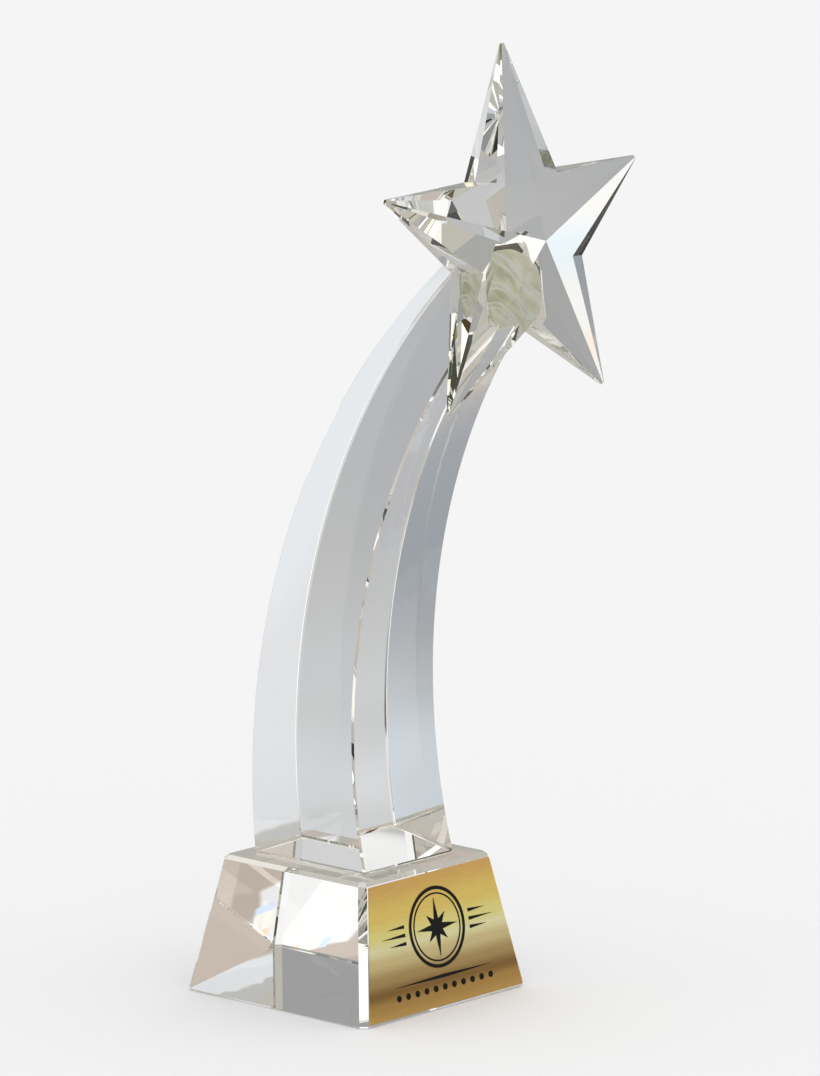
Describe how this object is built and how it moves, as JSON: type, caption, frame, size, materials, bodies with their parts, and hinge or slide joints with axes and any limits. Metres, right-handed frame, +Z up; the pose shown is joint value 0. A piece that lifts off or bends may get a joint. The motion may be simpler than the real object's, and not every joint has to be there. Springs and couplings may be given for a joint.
{
  "type": "star trophy",
  "caption": "Optical-crystal award: a faceted star bonded to the end of a tapered column that bends forward from a square bevelled base with a metal plate",
  "frame": {"origin": "centre of the base's underside, on the surface it stands on", "axes": "+Z up; -Y to the front, where the column bends, the star faces and the plate is; +X to the right as seen from the front"},
  "size_m": [0.113, 0.1144, 0.3006],
  "materials": {
    "base_crystal": "polished optical crystal",
    "column_crystal": "polished optical crystal",
    "star_crystal": "polished optical crystal",
    "clear_adhesive": "clear adhesive cured under ultraviolet light",
    "cured_adhesive": "pale yellow-green adhesive cured under ultraviolet light",
    "mounting_film": "double-sided adhesive film",
    "gold_plate": "gold-anodised, satin, with a banded sheen",
    "black_ink": "printed black ink"
  },
  "bodies": {
    "root": {"base_block": "base_crystal", "column": "column_crystal", "star": "star_crystal", "column_foot_bond": "clear_adhesive", "star_bond": "cured_adhesive", "plate_adhesive_film": "mounting_film", "name_plate": "gold_plate", "plate_print": "black_ink"}
  },
  "joints": []
}
